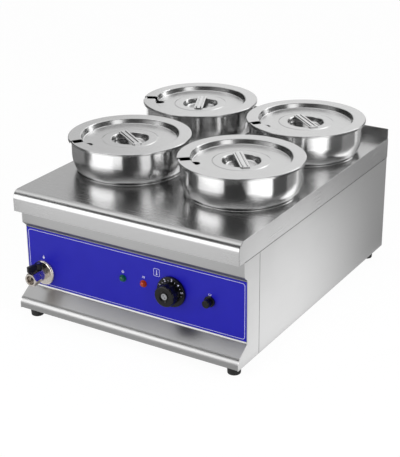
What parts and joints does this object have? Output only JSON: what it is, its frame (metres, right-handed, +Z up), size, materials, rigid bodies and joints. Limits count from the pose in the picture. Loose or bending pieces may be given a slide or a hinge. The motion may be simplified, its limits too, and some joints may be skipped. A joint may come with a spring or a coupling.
{
  "type": "bain marie",
  "caption": "Countertop electric bain marie: stainless worktop with lift-out round pots and lids over a heated water tank, with a dial, lamps, reset button and drain tap on a blue front.",
  "frame": {"origin": "on the table, under the middle of the bounding box", "axes": "+X to the right as seen from the control panel, +Y to the back, +Z up"},
  "size_m": [0.4006, 0.5414, 0.2715],
  "materials": {
    "worktop_steel": "satin stainless steel",
    "casing_steel": "brushed stainless steel",
    "pot_steel": "mirror-polished stainless steel",
    "lid_steel": "satin stainless steel",
    "tank_steel": "plain stainless steel",
    "blue_panel": "satin",
    "black_plastic": "satin",
    "green_lens": "glossy",
    "red_lens": "glossy",
    "white_plastic": "satin",
    "nickel_plate": "polished",
    "brass": "plain",
    "rubber": "matt",
    "zinc_steel": "zinc plated",
    "insert_metal": "bright",
    "lead_sleeve": "silicone sleeve"
  },
  "bodies": {
    "casing": {"worktop": "worktop_steel", "front_fascia": "casing_steel", "right_end_cheek": "casing_steel", "left_end_cheek": "casing_steel", "right_side_panel": "casing_steel", "left_side_panel": "casing_steel", "rear_panel": "casing_steel", "base_panel": "casing_steel", "water_tank": "tank_steel", "heating_element": "tank_steel", "element_saddles": "tank_steel", "control_panel": "blue_panel", "element_nuts": "zinc_steel", "thermostat_screws": "zinc_steel", "foot_screws": "zinc_steel", "casing_screws": "zinc_steel", "power_lamp_lens": "green_lens", "heat_lamp_lens": "red_lens", "lamp_bodies": "white_plastic", "terminal_block": "white_plastic", "tap_seats": "white_plastic", "thermostat_body": "black_plastic", "reset_bezel": "black_plastic", "cutout_body": "black_plastic", "gland_body": "black_plastic", "gland_cap": "black_plastic", "gland_nut": "black_plastic", "thermostat_bulb": "brass", "cutout_bulb": "brass", "bulb_gland": "brass", "drain_pipe": "brass", "drain_locknut": "brass", "earth_stud": "brass", "tap_escutcheon": "nickel_plate", "tap_body": "nickel_plate", "tap_outlet": "nickel_plate", "drain_gasket": "rubber", "rubber_feet": "rubber", "wiring": "lead_sleeve"},
    "thermostat_knob": {"knob": "black_plastic", "knob_insert": "insert_metal", "thermostat_spindle": "zinc_steel"},
    "reset_plunger": {"reset_button": "black_plastic"},
    "drain_handle": {"tap_lever": "black_plastic", "tap_ball": "nickel_plate", "tap_lever_screw": "zinc_steel"},
    "back_left_pot": {"pot_back_left": "pot_steel"},
    "back_left_lid": {"lid_back_left": "lid_steel", "lid_handle_back_left": "lid_steel"},
    "front_left_pot": {"pot_front_left": "pot_steel"},
    "front_left_lid": {"lid_front_left": "lid_steel", "lid_handle_front_left": "lid_steel"},
    "back_right_pot": {"pot_back_right": "pot_steel"},
    "back_right_lid": {"lid_back_right": "lid_steel", "lid_handle_back_right": "lid_steel"},
    "front_right_pot": {"pot_front_right": "pot_steel"},
    "front_right_lid": {"lid_front_right": "lid_steel", "lid_handle_front_right": "lid_steel"}
  },
  "joints": [
    {"name": "knob_turn", "type": "hinge", "parent": "casing", "child": "thermostat_knob", "pos_m": [0.072, -0.23475, 0.1015], "axis": [0, 1, 0], "range_deg": [0, 270]},
    {"name": "reset_press", "type": "slide", "parent": "casing", "child": "reset_plunger", "axis": [0, 1, 0], "range_m": [0, 0.003], "stiffness_N_per_m": 800, "springref_m": -0.002},
    {"name": "tap_turn", "type": "hinge", "parent": "casing", "child": "drain_handle", "pos_m": [-0.168, -0.24845, 0.075], "axis": [0, 0, -1], "range_deg": [-12, 78]},
    {"name": "back_left_pot_lift", "type": "slide", "parent": "casing", "child": "back_left_pot", "axis": [0, 0, 1], "range_m": [0, 0.15]},
    {"name": "back_left_lid_lift", "type": "slide", "parent": "back_left_pot", "child": "back_left_lid", "axis": [0, 0, 1], "range_m": [0, 0.06]},
    {"name": "front_left_pot_lift", "type": "slide", "parent": "casing", "child": "front_left_pot", "axis": [0, 0, 1], "range_m": [0, 0.15]},
    {"name": "front_left_lid_lift", "type": "slide", "parent": "front_left_pot", "child": "front_left_lid", "axis": [0, 0, 1], "range_m": [0, 0.06]},
    {"name": "back_right_pot_lift", "type": "slide", "parent": "casing", "child": "back_right_pot", "axis": [0, 0, 1], "range_m": [0, 0.15]},
    {"name": "back_right_lid_lift", "type": "slide", "parent": "back_right_pot", "child": "back_right_lid", "axis": [0, 0, 1], "range_m": [0, 0.06]},
    {"name": "front_right_pot_lift", "type": "slide", "parent": "casing", "child": "front_right_pot", "axis": [0, 0, 1], "range_m": [0, 0.15]},
    {"name": "front_right_lid_lift", "type": "slide", "parent": "front_right_pot", "child": "front_right_lid", "axis": [0, 0, 1], "range_m": [0, 0.06]}
  ]
}
